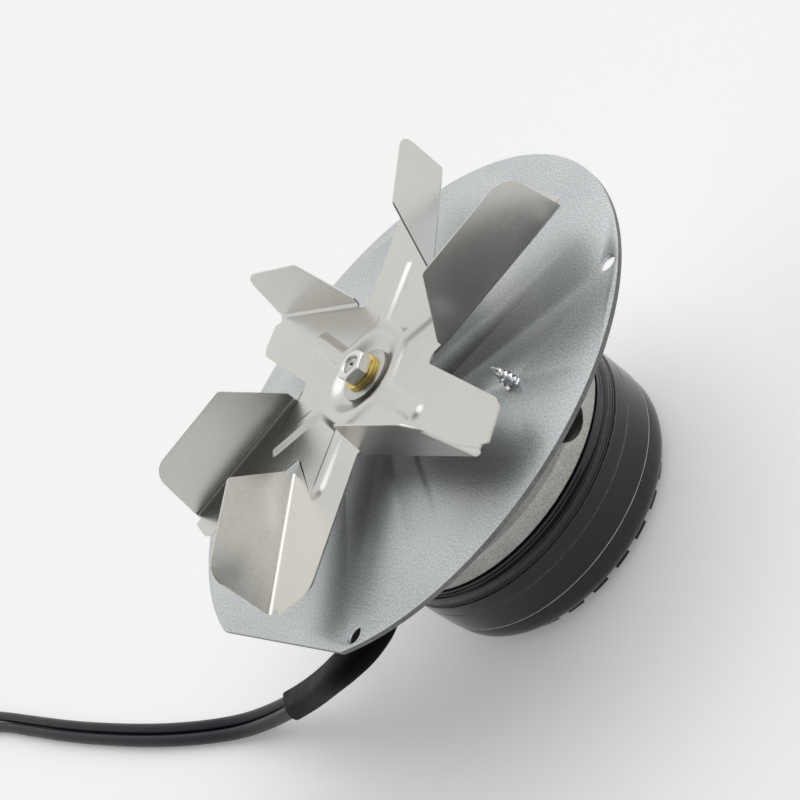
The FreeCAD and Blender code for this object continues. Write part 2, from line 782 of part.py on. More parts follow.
# Plug housing at the end of a lead, square to its last run and flat on the same floor
def make_connector(points, width, height, cavities):
    floor = route[-1][2] - lead_radius
    end = points[-1]
    ahead = points[-1] - points[-2]
    length = connector_length
    housing = Part.makeBox(length, width, height, V(0, -width / 2.0, 0))
    longways = [edge for edge in housing.Edges if abs(edge.tangentAt(edge.FirstParameter).x) > 0.9]
    housing = housing.makeFillet(0.8, longways)
    latch = Part.makeBox(length * 0.45, width * 0.3, 1.2, V(length * 0.3, -width * 0.15, height - 0.1))
    grip = Part.makeBox(2.0, width * 0.5, 1.2, V(1.0, -width * 0.25, height - 0.1))
    housing = joined([housing, latch, grip])
    pitch = width / cavities
    for index in range(cavities):
        middle = -width / 2.0 + pitch * (index + 0.5)
        side = connector_cavity
        housing = housing.cut(Part.makeBox(length * 0.5, side, side,
                                           V(length * 0.55, middle - side / 2.0, height / 2.0 - side / 2.0)))
    housing.rotate(V(0, 0, 0), V(0, 0, 1), math.degrees(math.atan2(ahead.y, ahead.x)))
    housing.translate(V(end.x, end.y, floor))
    return housing


def make_terminal_block():
    middle = route[0][0]
    face = route[0][1]
    body = Part.makeBox(terminal_width, terminal_depth, terminal_front - web_front,
                        V(middle - terminal_width / 2.0, face, web_front))
    wells = []
    for offset in (-6.0, 0.0, 6.0):
        wells.append(Part.makeCylinder(1.8, 5.0, V(middle + offset, face + 7.0, terminal_front - 5.0)))
    return body.cut(wells)


front_outer, front_inner, front_balls = make_bearing(front_bearing_face)
rear_outer, rear_inner, rear_balls = make_bearing(rear_bearing_face)
bore = shaft_end_radius + hub_bore_clearance
disc_low = shaft_shoulder + lower_clamp_thickness
disc_top = disc_low + sheet
upper_top = disc_top + upper_clamp_thickness
flat_top = upper_top + flat_washer_thickness
spring_top = flat_top + spring_washer_thickness

power_route = side_route(1)
sensor_route = side_route(-1)
power_edges = route_edges(power_route, "power lead")
sensor_edges = route_edges(sensor_route, "sensor lead")
power_cable = tube_along(power_edges, lead_radius)
sensor_cable = tube_along(sensor_edges, lead_radius)
cores = [tube_along(power_edges, lead_radius + sleeve_clearance),
         tube_along(sensor_edges, lead_radius + sleeve_clearance)]
for label, cable, edges in (("power", power_cable, power_edges), ("sensor", sensor_cable, sensor_edges)):
    length = sum(edge.Length for edge in edges)
    section = math.pi * lead_radius ** 2
    print(label, "lead length", round(length, 1), "volume ratio", round(cable.Volume / section / length, 4))

nodes = {
    "mounting_plate": make_plate(),
    "flange_screws": make_flange_screws(),
    "earth_screw": make_earth_screw(),
    "earth_tab": make_earth_tab(),
    "stator_flange": make_flange(),
    "front_bearing_outer_ring": front_outer,
    "rear_bearing_outer_ring": rear_outer,
    "bearing_circlip": make_circlip(),
    "stator_core": stator_stack(stator_rear, stator_front),
    "insulator_front": stator_stack(stator_front, stator_front + insulator_thickness),
    "insulator_rear": stator_stack(stator_rear - insulator_thickness, stator_rear),
    "windings": make_windings(),
    "terminal_block": make_terminal_block(),
    "cable_sleeve": make_sleeve(cores),
    "power_cable": power_cable,
    "sensor_cable": sensor_cable,
    "power_connector": make_connector(power_route, power_connector_width, power_connector_height, 3),
    "sensor_connector": make_connector(sensor_route, sensor_connector_width, sensor_connector_height, 3),
    "rotor_drum": make_drum(),
    "rotor_cover": make_cover(),
    "rotor_core": make_rotor_core(),
    "rotor_cage": make_rotor_cage(),
    "shaft": make_shaft(),
    "shaft_clip": make_shaft_clip(),
    "front_bearing_inner_ring": front_inner,
    "rear_bearing_inner_ring": rear_inner,
    "front_bearing_balls": front_balls,
    "rear_bearing_balls": rear_balls,
    "lower_clamp_washer": ring(bore, clamp_washer_radius, shaft_shoulder, disc_low),
    "impeller": make_impeller(),
    "upper_clamp_washer": ring(bore, clamp_washer_radius, disc_top, upper_top),
    "flat_washer": ring(bore, flat_washer_radius, upper_top, flat_top),
    "spring_washer": make_spring_washer(flat_top),
    "hub_nut": make_nut(spring_top),
}

os.makedirs("parts", exist_ok=True)
for name, shape in nodes.items():
    box = shape.BoundBox
    print(name, "solids", len(shape.Solids), "valid", shape.isValid(), "volume", round(shape.Volume, 1),
          "z", round(box.ZMin, 2), round(box.ZMax, 2))
    shape.exportStep("parts/" + name + ".step")
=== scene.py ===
import json
import math

import bpy
from mathutils import Matrix, Vector

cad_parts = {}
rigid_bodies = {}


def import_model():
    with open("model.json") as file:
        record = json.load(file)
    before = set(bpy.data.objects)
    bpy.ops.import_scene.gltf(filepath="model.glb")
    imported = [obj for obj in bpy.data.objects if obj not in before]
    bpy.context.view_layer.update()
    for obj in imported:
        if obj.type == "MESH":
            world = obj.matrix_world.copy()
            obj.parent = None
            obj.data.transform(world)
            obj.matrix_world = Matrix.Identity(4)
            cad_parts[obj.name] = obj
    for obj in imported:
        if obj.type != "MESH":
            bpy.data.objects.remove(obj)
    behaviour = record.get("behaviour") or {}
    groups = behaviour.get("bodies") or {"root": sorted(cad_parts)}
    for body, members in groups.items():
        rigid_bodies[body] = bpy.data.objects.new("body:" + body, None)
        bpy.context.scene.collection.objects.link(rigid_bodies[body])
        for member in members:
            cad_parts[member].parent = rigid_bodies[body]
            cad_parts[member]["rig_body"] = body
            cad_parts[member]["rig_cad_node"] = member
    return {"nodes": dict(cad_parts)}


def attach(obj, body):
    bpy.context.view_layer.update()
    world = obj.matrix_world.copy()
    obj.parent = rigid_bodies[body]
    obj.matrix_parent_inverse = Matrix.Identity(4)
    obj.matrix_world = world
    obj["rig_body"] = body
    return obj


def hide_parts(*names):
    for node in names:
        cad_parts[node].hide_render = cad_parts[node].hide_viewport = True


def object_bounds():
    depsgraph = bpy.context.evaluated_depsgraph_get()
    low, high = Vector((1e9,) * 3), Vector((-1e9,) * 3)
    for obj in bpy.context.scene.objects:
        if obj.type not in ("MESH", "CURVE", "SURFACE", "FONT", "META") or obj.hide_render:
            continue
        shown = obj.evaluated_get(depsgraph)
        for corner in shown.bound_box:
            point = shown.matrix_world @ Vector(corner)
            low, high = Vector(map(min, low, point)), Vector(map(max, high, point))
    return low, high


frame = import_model()
cad_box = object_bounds()
cad = frame["nodes"]

# The camera stands in front of the impeller and to one side, a little above it, and is rolled,
# because the fan was photographed leaning on its plate and motor while it stands upright here.
camera_data = bpy.data.cameras.new("camera")
camera_data.sensor_width = 36.0
camera_data.lens = 61.49
camera_data.clip_start = 0.01
camera = bpy.data.objects.new("camera", camera_data)
bpy.context.scene.collection.objects.link(camera)
camera_right = Vector((0.568291, 0.393052, -0.722879))
camera_up = Vector((0.053572, 0.858993, 0.509177))
camera_back = Vector((0.821081, -0.328087, 0.467102))
camera_place = Vector((0.34862, -0.13945, 0.19481))
turn = Matrix((camera_right, camera_up, camera_back)).transposed().to_4x4()
camera.matrix_world = Matrix.Translation(camera_place) @ turn
bpy.context.scene.camera = camera
bpy.context.scene.view_settings.view_transform = "Standard"

# A plain white studio: one wide paper floor under the fan and one broad, soft ceiling light. The
# floor looks white to the camera and in the metal, and keeps the fan's soft shadow.
floor_level = cad_box[0][2]
floor_width = 40.0
floor_paper = 0.93
floor_lift = 0.225
ceiling_direction = Vector((0.30, 0.52, 0.80))
ceiling_strength = 1.1
ceiling_spread = 72.0
ceiling_data = bpy.data.lights.new("ceiling_light", "SUN")
ceiling_data.energy = ceiling_strength
ceiling_data.angle = math.radians(ceiling_spread)
ceiling = bpy.data.objects.new("ceiling_light", ceiling_data)
bpy.context.scene.collection.objects.link(ceiling)
ceiling.rotation_euler = ceiling_direction.to_track_quat("Z", "Y").to_euler()

bpy.ops.object.select_all(action="DESELECT")
bpy.ops.mesh.primitive_plane_add(size=floor_width, location=(0, 0, floor_level))
floor = bpy.context.object
floor.name = "studio_floor"
floor_paint = bpy.data.materials.new("studio_floor")
floor_paint.use_nodes = True
tree = floor_paint.node_tree
tree.nodes.clear()
paper = tree.nodes.new("ShaderNodeBsdfDiffuse")
paper.inputs["Color"].default_value = (floor_paper, floor_paper, floor_paper, 1)
glow = tree.nodes.new("ShaderNodeEmission")
glow.inputs["Color"].default_value = (1.0, 1.0, 1.0, 1)
path = tree.nodes.new("ShaderNodeLightPath")
seen = tree.nodes.new("ShaderNodeMath")
seen.operation = "MAXIMUM"
tree.links.new(path.outputs["Is Camera Ray"], seen.inputs[0])
tree.links.new(path.outputs["Is Glossy Ray"], seen.inputs[1])
lift = tree.nodes.new("ShaderNodeMath")
lift.operation = "MULTIPLY"
lift.inputs[1].default_value = floor_lift
tree.links.new(seen.outputs[0], lift.inputs[0])
tree.links.new(lift.outputs[0], glow.inputs["Strength"])
both = tree.nodes.new("ShaderNodeAddShader")
tree.links.new(paper.outputs[0], both.inputs[0])
tree.links.new(glow.outputs[0], both.inputs[1])
out = tree.nodes.new("ShaderNodeOutputMaterial")
tree.links.new(both.outputs[0], out.inputs["Surface"])
floor.data.materials.append(floor_paint)

# The studio's walls are pale behind the fan and fall off to dark grey on the camera's side, which
# gives the metal its light and dark faces. The camera itself sees only the pale tone.
pale_wall = (0.92, 0.92, 0.91, 1)
dark_wall = (0.10, 0.10, 0.097, 1)
dark_side = (0.78, -0.50, 0.37)
pale_until = 0.34
dark_from = 0.82
world = bpy.data.worlds.new("studio")
bpy.context.scene.world = world
world.use_nodes = True
tree = world.node_tree
tree.nodes.clear()
where = tree.nodes.new("ShaderNodeTexCoord")
towards = tree.nodes.new("ShaderNodeVectorMath")
towards.operation = "DOT_PRODUCT"
towards.inputs[1].default_value = dark_side
tree.links.new(where.outputs["Generated"], towards.inputs[0])
half = tree.nodes.new("ShaderNodeMath")
half.operation = "MULTIPLY_ADD"
half.inputs[1].default_value = 0.5
half.inputs[2].default_value = 0.5
tree.links.new(towards.outputs["Value"], half.inputs[0])
ramp = tree.nodes.new("ShaderNodeValToRGB")
ramp.color_ramp.interpolation = "EASE"
ramp.color_ramp.elements[0].position = pale_until
ramp.color_ramp.elements[0].color = pale_wall
ramp.color_ramp.elements[1].position = dark_from
ramp.color_ramp.elements[1].color = dark_wall
tree.links.new(half.outputs[0], ramp.inputs["Fac"])
path = tree.nodes.new("ShaderNodeLightPath")
plain = tree.nodes.new("ShaderNodeMix")
plain.data_type = "RGBA"
plain.inputs[7].default_value = pale_wall
tree.links.new(path.outputs["Is Camera Ray"], plain.inputs[0])
tree.links.new(ramp.outputs["Color"], plain.inputs[6])
sky = tree.nodes.new("ShaderNodeBackground")
sky.inputs["Strength"].default_value = 1.0
tree.links.new(plain.outputs[2], sky.inputs["Color"])
out = tree.nodes.new("ShaderNodeOutputWorld")
tree.links.new(sky.outputs[0], out.inputs["Surface"])

# Two leads with soft black rubber-like jackets, 5 mm thick. They leave the terminal block side by
# side through the flange's window, run down to the floor and end in plain plug housings.
lead_radius = 0.0025
power_lead_points = [
    (0.00710, -0.04300, -0.02080), (0.00710, -0.05314, -0.02080), (0.00975, -0.06257, -0.02590),
    (0.00513, -0.07365, -0.02670), (-0.00468, -0.08111, -0.02830), (-0.01781, -0.08408, -0.03340),
    (-0.03437, -0.08539, -0.04160), (-0.05419, -0.08738, -0.05080), (-0.07606, -0.09046, -0.05950),
    (-0.09884, -0.09514, -0.06650), (-0.12400, -0.10103, -0.07140), (-0.15366, -0.10804, -0.07210),
    (-0.18887, -0.11476, -0.07210), (-0.22925, -0.12068, -0.07210), (-0.27362, -0.12609, -0.07210),
    (-0.31877, -0.13019, -0.07210), (-0.35966, -0.13378, -0.07210), (-0.39130, -0.14135, -0.07210),
    (-0.41492, -0.14813, -0.07210)]
sensor_lead_points = [
    (0.00190, -0.04300, -0.02080), (0.00190, -0.05386, -0.02080), (0.00425, -0.06223, -0.02590),
    (0.00087, -0.07035, -0.02670), (-0.00692, -0.07629, -0.02830), (-0.01859, -0.07892, -0.03340),
    (-0.03483, -0.08021, -0.04160), (-0.05481, -0.08222, -0.05080), (-0.07694, -0.08534, -0.05950),
    (-0.09996, -0.09006, -0.06650), (-0.12520, -0.09597, -0.07140), (-0.15474, -0.10296, -0.07210),
    (-0.18973, -0.10964, -0.07210), (-0.22995, -0.11552, -0.07210), (-0.27418, -0.12091, -0.07210),
    (-0.31923, -0.12501, -0.07210), (-0.36034, -0.12862, -0.07210), (-0.39270, -0.13225, -0.07210),
    (-0.41708, -0.13187, -0.07210)]


def spline_curve(name, points):
    """Open curve that the points control, running through its first and last one."""
    data = bpy.data.curves.new(name, "CURVE")
    data.dimensions = "3D"
    data.resolution_u = 10
    spline = data.splines.new("NURBS")
    spline.points.add(len(points) - 1)
    for point, place in zip(spline.points, points):
        point.co = (*place, 1.0)
    spline.order_u = 3
    spline.use_endpoint_u = True
    curve = bpy.data.objects.new(name, data)
    bpy.context.scene.collection.objects.link(curve)
    return curve


def grain_group():
    """Uneven surface: a coarse cloud and a fine grain mixed to one value from 0 to 1."""
    group = bpy.data.node_groups.new("uneven_grain", "ShaderNodeTree")
    for name, kind in (("Vector", "NodeSocketVector"), ("Cloud Scale", "NodeSocketFloat"),
                       ("Grain Scale", "NodeSocketFloat"), ("Grain Share", "NodeSocketFloat")):
        group.interface.new_socket(name=name, in_out="INPUT", socket_type=kind)
    group.interface.new_socket(name="Value", in_out="OUTPUT", socket_type="NodeSocketFloat")
    nodes, links = group.nodes, group.links
    enter = nodes.new("NodeGroupInput")
    leave = nodes.new("NodeGroupOutput")
    cloud = nodes.new("ShaderNodeTexNoise")
    cloud.inputs["Detail"].default_value = 4.0
    fine = nodes.new("ShaderNodeTexNoise")
    fine.inputs["Detail"].default_value = 2.0
    mix = nodes.new("ShaderNodeMix")
    mix.data_type = "FLOAT"
    links.new(enter.outputs["Vector"], cloud.inputs["Vector"])
    links.new(enter.outputs["Vector"], fine.inputs["Vector"])
    links.new(enter.outputs["Cloud Scale"], cloud.inputs["Scale"])
    links.new(enter.outputs["Grain Scale"], fine.inputs["Scale"])
    links.new(enter.outputs["Grain Share"], mix.inputs[0])
    links.new(cloud.outputs["Fac"], mix.inputs[2])
    links.new(fine.outputs["Fac"], mix.inputs[3])
    links.new(mix.outputs[0], leave.inputs["Value"])
    return group


uneven_grain = grain_group()


def finish(name, dark, light, rough, metallic=0.0, cloud=60.0, grain=900.0, share=0.5,
           bump=0.00002, stretch=(1.0, 1.0, 1.0), contrast=(0.35, 0.65)):
    """Material whose colour and roughness wander between two values over the surface."""
    material = bpy.data.materials.new(name)
    material.use_nodes = True
    tree = material.node_tree
    shader = tree.nodes["Principled BSDF"]
    shader.inputs["Metallic"].default_value = metallic
    place = tree.nodes.new("ShaderNodeTexCoord")
    scaled = tree.nodes.new("ShaderNodeMapping")
    scaled.inputs["Scale"].default_value = stretch
    tree.links.new(place.outputs["Object"], scaled.inputs["Vector"])
    surface = tree.nodes.new("ShaderNodeGroup")
    surface.node_tree = uneven_grain
    surface.inputs["Cloud Scale"].default_value = cloud
    surface.inputs["Grain Scale"].default_value = grain
    surface.inputs["Grain Share"].default_value = share
    tree.links.new(scaled.outputs[0], surface.inputs["Vector"])
    spread = tree.nodes.new("ShaderNodeMapRange")
    spread.inputs["From Min"].default_value = contrast[0]
    spread.inputs["From Max"].default_value = contrast[1]
    tree.links.new(surface.outputs["Value"], spread.inputs["Value"])
    colour = tree.nodes.new("ShaderNodeMix")
    colour.data_type = "RGBA"
    colour.inputs[6].default_value = (*dark, 1.0)
    colour.inputs[7].default_value = (*light, 1.0)
    tree.links.new(spread.outputs[0], colour.inputs[0])
    tree.links.new(colour.outputs[2], shader.inputs["Base Color"])
    sheen = tree.nodes.new("ShaderNodeMapRange")
    sheen.inputs["To Min"].default_value = rough[0]
    sheen.inputs["To Max"].default_value = rough[1]
    tree.links.new(spread.outputs[0], sheen.inputs["Value"])
    tree.links.new(sheen.outputs[0], shader.inputs["Roughness"])
    relief = tree.nodes.new("ShaderNodeBump")
    relief.inputs["Distance"].default_value = bump
    tree.links.new(surface.outputs["Value"], relief.inputs["Height"])
    tree.links.new(relief.outputs[0], shader.inputs["Normal"])
    return material


def dress(piece, material):
    """Gives a piece or a CAD node its one material."""
    if piece.material_slots:
        for place in piece.material_slots:
            place.material = material
    else:
        piece.data.materials.append(material)


jacket_rubber = finish("lead_jacket", (0.011, 0.009, 0.016), (0.018, 0.015, 0.025), (0.30, 0.40),
                       cloud=120.0, grain=1600.0, share=0.4, bump=0.00002)
jacket_rubber.node_tree.nodes["Principled BSDF"].inputs["Specular IOR Level"].default_value = 0.10
leads = {}
for name, points in (("power_lead", power_lead_points), ("sensor_lead", sensor_lead_points)):
    lead = spline_curve(name, points)
    lead.data.bevel_depth = lead_radius
    lead.data.bevel_resolution = 7
    lead.data.use_fill_caps = True
    dress(lead, jacket_rubber)
    leads[name] = lead

# The sleeve is a short length of thin black tube, pushed over both leads side by side. It reaches
# from inside the flange to halfway down to the floor and is cut off at a slant.
sleeve_route = [
    (0.0045, -0.0430, -0.0208), (0.0045, -0.0535, -0.0208), (0.0070, -0.0624, -0.0259),
    (0.0030, -0.0720, -0.0267), (-0.0058, -0.0787, -0.0283), (-0.0182, -0.0815, -0.0334),
    (-0.0346, -0.0828, -0.0416), (-0.0545, -0.0848, -0.0508), (-0.0765, -0.0879, -0.0595),
    (-0.0994, -0.0926, -0.0665), (-0.1246, -0.0985, -0.0714), (-0.1542, -0.1055, -0.0721)]
sleeve_half_height = 0.0032
sleeve_half_width = 0.0026
sleeve_wall = 0.0006
sleeve_cut_place = (-0.0775, -0.0890, -0.0590)
sleeve_cut_direction = (-0.455, -0.869, 0.189)


def only(piece):
    """Selects one piece alone and makes it the active one."""
    bpy.ops.object.select_all(action="DESELECT")
    piece.select_set(True)
    bpy.context.view_layer.objects.active = piece


outline_data = bpy.data.curves.new("sleeve_outline", "CURVE")
outline_data.dimensions = "2D"
ring = outline_data.splines.new("POLY")
corners = []
for side in (1, -1):
    for step in range(13):
        angle = math.radians(-90 * side + 15 * step)
        corners.append((side * sleeve_half_width + sleeve_half_height * math.cos(angle),
                        sleeve_half_height * math.sin(angle)))
ring.points.add(len(corners) - 1)
for point, (x, y) in zip(ring.points, corners):
    point.co = (x, y, 0.0, 1.0)
ring.use_cyclic_u = True
outline = bpy.data.objects.new("sleeve_outline", outline_data)
bpy.context.scene.collection.objects.link(outline)
sleeve = spline_curve("cable_sleeve_tube", sleeve_route)
sleeve.data.twist_mode = "Z_UP"
sleeve.data.bevel_mode = "OBJECT"
sleeve.data.bevel_object = outline
only(sleeve)
bpy.ops.object.convert(target="MESH")
sleeve = bpy.context.object
bpy.data.objects.remove(outline)
bpy.ops.object.mode_set(mode="EDIT")
bpy.ops.mesh.select_all(action="SELECT")
bpy.ops.mesh.bisect(plane_co=sleeve_cut_place, plane_no=sleeve_cut_direction, clear_outer=True)
bpy.ops.mesh.select_all(action="SELECT")
bpy.ops.mesh.remove_doubles(threshold=0.00002)
bpy.ops.mesh.normals_make_consistent(inside=False)
bpy.ops.object.mode_set(mode="OBJECT")
wall = sleeve.modifiers.new("wall", "SOLIDIFY")
wall.thickness = sleeve_wall
wall.offset = -1.0
bpy.ops.object.modifier_apply(modifier="wall")
bpy.ops.object.shade_smooth_by_angle(angle=math.radians(40))
sleeve_rubber = finish("sleeve_tube", (0.005, 0.005, 0.006), (0.010, 0.010, 0.011), (0.45, 0.60),
                       cloud=90.0, grain=1800.0, share=0.5, bump=0.00003)
sleeve_rubber.node_tree.nodes["Principled BSDF"].inputs["Specular IOR Level"].default_value = 0.03
dress(sleeve, sleeve_rubber)
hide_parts("cable_sleeve")
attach(sleeve, "motor_base")

# Each lead ends in a small moulded nylon plug housing with a latch and contact wells. Both lie on
# the floor outside the picture.
housing_nylon = finish("plug_nylon", (0.62, 0.60, 0.54), (0.72, 0.70, 0.64), (0.38, 0.5),
                       cloud=200.0, grain=2500.0, share=0.4, bump=0.00002)


def round_edges(piece, width, segments, sharp):
    """Rounds every edge of the active piece that turns by more than the sharp angle."""
    edge = piece.modifiers.new("edge", "BEVEL")
    edge.width = width
    edge.segments = segments
    edge.limit_method = "ANGLE"
    edge.angle_limit = math.radians(sharp)
    bpy.ops.object.modifier_apply(modifier="edge")


def softened(node, name, width, segments=2, sharp=30.0, smooth=35.0, trim=None):
    """Copy of a CAD node: seams merged, trimmed if asked, and its sharp edges slightly rounded."""
    only(cad[node])
    bpy.ops.object.duplicate()
    piece = bpy.context.object
    piece.parent = None
    piece.name = name
    piece.data.name = name
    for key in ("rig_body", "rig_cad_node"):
        if key in piece:
            del piece[key]
    bpy.ops.object.mode_set(mode="EDIT")
    bpy.ops.mesh.select_all(action="SELECT")
    bpy.ops.mesh.customdata_custom_splitnormals_clear()
    bpy.ops.mesh.remove_doubles(threshold=0.000002)
    if trim:
        trim(piece)
        bpy.ops.mesh.select_all(action="SELECT")
    bpy.ops.mesh.dissolve_limited(angle_limit=math.radians(0.6))
    bpy.ops.object.mode_set(mode="OBJECT")
    round_edges(piece, width, segments, sharp)
    bpy.ops.object.shade_smooth_by_angle(angle=math.radians(smooth))
    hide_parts(node)
    return piece


for node, name in (("power_connector", "power_plug_housing"),
                   ("sensor_connector", "sensor_plug_housing")):
    housing = softened(node, name, 0.0002)
    dress(housing, housing_nylon)
    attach(housing, "motor_base")

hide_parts("power_cable")
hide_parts("sensor_cable")
for name in leads:
    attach(leads[name], "motor_base")

# The mounting plate is a round galvanised sheet, 1.5 mm thick, blanked with one flat side and
# punched for the shaft, the motor's screws, the earth screw and four rim screws.
plate_radius = 0.090
plate_thickness = 0.0015
plate_flat = 0.0834
shaft_hole = ((0.0, 0.0), 0.005)
earth_hole = ((0.0592, -0.0006), 0.0021)
rim_holes = (4, 0.086, -65.0, 0.0028)
motor_screw_holes = (3, 0.020, 90.0, 0.00215)
sheared_band = 0.0004
side_slant = 0.3
corner_slant = 0.95


def carve(piece, tool, operation="DIFFERENCE"):
    """Cuts the tool out of a piece, or keeps what both share, and removes the tool."""
    cut = piece.modifiers.new("cut", "BOOLEAN")
    cut.operation = operation
    cut.solver = "EXACT"
    cut.object = tool
    only(piece)
    bpy.ops.object.modifier_apply(modifier="cut")
    bpy.data.objects.remove(tool)


def punch(piece, centre, radius):
    """Cuts a round hole along Z through a flat piece."""
    bpy.ops.object.select_all(action="DESELECT")
    bpy.ops.mesh.primitive_cylinder_add(vertices=48, radius=radius, depth=0.02,
                                        location=(*centre, 0))
    tool = bpy.context.object
    bpy.ops.object.transform_apply(location=True, rotation=True, scale=True)
    carve(piece, tool)


bpy.ops.object.select_all(action="DESELECT")
bpy.ops.mesh.primitive_cylinder_add(vertices=256, radius=plate_radius, depth=plate_thickness,
                                    location=(0, 0, -plate_thickness / 2))
plate = bpy.context.object
plate.name = "plate_sheet"
bpy.ops.object.transform_apply(location=True, rotation=True, scale=True)
bpy.ops.object.mode_set(mode="EDIT")
bpy.ops.mesh.select_all(action="SELECT")
bpy.ops.mesh.bisect(plane_co=(0, -plate_flat, 0), plane_no=(0, -1, 0), use_fill=True,
                    clear_outer=True)
bpy.ops.object.mode_set(mode="OBJECT")
holes = [shaft_hole, earth_hole]
for count, circle, start, radius in (rim_holes, motor_screw_holes):
    for index in range(count):
        angle = math.radians(start + 360.0 * index / count)
        holes.append(((circle * math.cos(angle), circle * math.sin(angle)), radius))
for centre, radius in holes:
    punch(plate, centre, radius)
round_edges(plate, 0.00018, 2, 40)
bpy.ops.object.shade_smooth_by_angle(angle=math.radians(30))
galvanised = finish("galvanised_sheet", (0.46, 0.485, 0.50), (0.78, 0.805, 0.82), (0.40, 0.52),
                    metallic=0.95, cloud=24.0, grain=1600.0, share=0.72, bump=0.00003,
                    contrast=(0.36, 0.64))
# The sheared rim is painted in two tones by its slant: the upright side darker as painted shade,
# the rounded corner lighter as a painted highlight.
shaded_cut_side = finish("sheared_side_painted_shade", (0.12, 0.122, 0.125), (0.22, 0.224, 0.23), (0.35, 0.50),
                  metallic=0.95, cloud=60.0, grain=1200.0, share=0.5, bump=0.00002,
                  stretch=(1.0, 1.0, 0.2))
highlit_cut_corner = finish("sheared_corner_painted_highlight", (0.66, 0.68, 0.69), (0.84, 0.86, 0.87), (0.28, 0.40),
                    metallic=0.95, cloud=60.0, grain=1200.0, share=0.5, bump=0.00001)
dress(plate, galvanised)
plate.data.materials.append(shaded_cut_side)
plate.data.materials.append(highlit_cut_corner)
# Rim faces get the painted shade on their upright side and the painted highlight on their rounded
# corner.
for face in plate.data.polygons:
    round_side = face.center.to_2d().length > plate_radius - sheared_band
    if round_side or face.center.y < -plate_flat + sheared_band:
        slant = abs(face.normal.z)
        if slant < side_slant:
            face.material_index = 1
        elif slant < corner_slant:
            face.material_index = 2
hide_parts("mounting_plate")
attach(plate, "motor_base")

# Three pan-head screws hold the motor to the plate, under the impeller's hub. They are plain
# zinc-plated steel.
bright_zinc = finish("bright_zinc", (0.74, 0.75, 0.77), (0.90, 0.91, 0.92), (0.10, 0.20),
                     metallic=1.0, cloud=300.0, grain=3000.0, share=0.4, bump=0.00001)
screws = softened("flange_screws", "motor_screws", 0.00015)
dress(screws, bright_zinc)
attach(screws, "motor_base")

# The earth screw is a self-tapping screw driven from behind the plate, so that its coarse thread
# and point stand out in front. Its head clamps a tinned tab for the earth wire.
screw_place = Vector((*earth_hole[0], 0.0))
screw_tip = 0.0086
screw_pitch = 0.0017
screw_crest = 0.0021
screw_root = 0.00140
thread_start = 0.0004
thread_sunk = 0.0002
thread_flank = 0.00040
thread_crest = 0.00006
head_seat = -0.0023
taper_start = 0.0034
taper_rise = 0.00035
taper_ratio = 0.925
taper_steps = 12


def drawn_line(name, profile):
    """Line through (radius, height) points, each one extruded from the last. Stays in edit mode."""
    bpy.ops.object.select_all(action="DESELECT")
    bpy.ops.mesh.primitive_plane_add(size=0.001, location=(0, 0, 0))
    piece = bpy.context.object
    piece.name = name
    piece.data.name = name
    bpy.ops.object.mode_set(mode="EDIT")
    bpy.ops.mesh.select_all(action="SELECT")
    bpy.ops.mesh.merge(type="CENTER")
    last = (0.0, 0.0)
    for index, (radius, height) in enumerate(profile):
        step = (radius - last[0], 0.0, height - last[1])
        if index == 0:
            bpy.ops.transform.translate(value=step)
        else:
            bpy.ops.mesh.extrude_vertices_move(TRANSFORM_OT_translate={"value": step})
        last = (radius, height)
    return piece


def lathe(name, profile, steps=96, centre=(0.0, 0.0, 0.0)):
    """Piece turned round Z from a line of (radius, height) points."""
    piece = drawn_line(name, profile)
    bpy.ops.mesh.select_all(action="SELECT")
    bpy.ops.mesh.spin(steps=steps, angle=2 * math.pi, center=(0, 0, 0), axis=(0, 0, 1),
                      use_auto_merge=True)
    bpy.ops.mesh.select_all(action="SELECT")
    bpy.ops.mesh.remove_doubles(threshold=0.000001)
    bpy.ops.mesh.normals_make_consistent(inside=False)
    bpy.ops.transform.translate(value=centre)
    bpy.ops.object.mode_set(mode="OBJECT")
    bpy.ops.object.shade_smooth_by_angle(angle=math.radians(32))
    return piece


screw_core = lathe("earth_screw_core", [
    (0.0, head_seat - 0.0026), (0.0024, head_seat - 0.0026), (0.0036, head_seat - 0.0019),
    (0.0040, head_seat - 0.0011), (0.0040, head_seat), (screw_crest - 0.0001, head_seat),
    (screw_crest - 0.0001, 0.00005), (0.0025, 0.00005), (0.0025, 0.0003), (0.0023, 0.0005),
    (screw_root, 0.0006), (screw_root, 0.0040), (screw_root * 0.62, screw_tip - 0.0022),
    (0.00012, screw_tip - 0.0001), (0.0, screw_tip)], steps=48, centre=screw_place)
thread = drawn_line("earth_screw_thread", [
    (screw_root - thread_sunk, 0.0), (screw_crest, thread_flank),
    (screw_crest, thread_flank + thread_crest),
    (screw_root - thread_sunk, 2 * thread_flank + thread_crest)])
bpy.ops.object.mode_set(mode="OBJECT")
helix = thread.modifiers.new("helix", "SCREW")
helix.angle = 2 * math.pi
helix.steps = 32
helix.render_steps = 32
helix.iterations = 4
helix.screw_offset = screw_pitch
bpy.ops.object.modifier_apply(modifier="helix")
bpy.ops.object.mode_set(mode="EDIT")
bpy.ops.mesh.select_all(action="SELECT")
bpy.ops.mesh.remove_doubles(threshold=0.000001)
bpy.ops.mesh.normals_make_consistent(inside=False)
bpy.ops.object.mode_set(mode="OBJECT")
for step in range(taper_steps):
    bpy.ops.object.mode_set(mode="EDIT")
    bpy.ops.mesh.select_all(action="DESELECT")
    bpy.ops.object.mode_set(mode="OBJECT")
    for vertex in thread.data.vertices:
        vertex.select = vertex.co.z > taper_start + taper_rise * step
    bpy.ops.object.mode_set(mode="EDIT")
    bpy.ops.transform.resize(value=(taper_ratio, taper_ratio, 1.0), center_override=(0, 0, 0))
    bpy.ops.object.mode_set(mode="OBJECT")
bpy.ops.object.mode_set(mode="EDIT")
bpy.ops.mesh.select_all(action="SELECT")
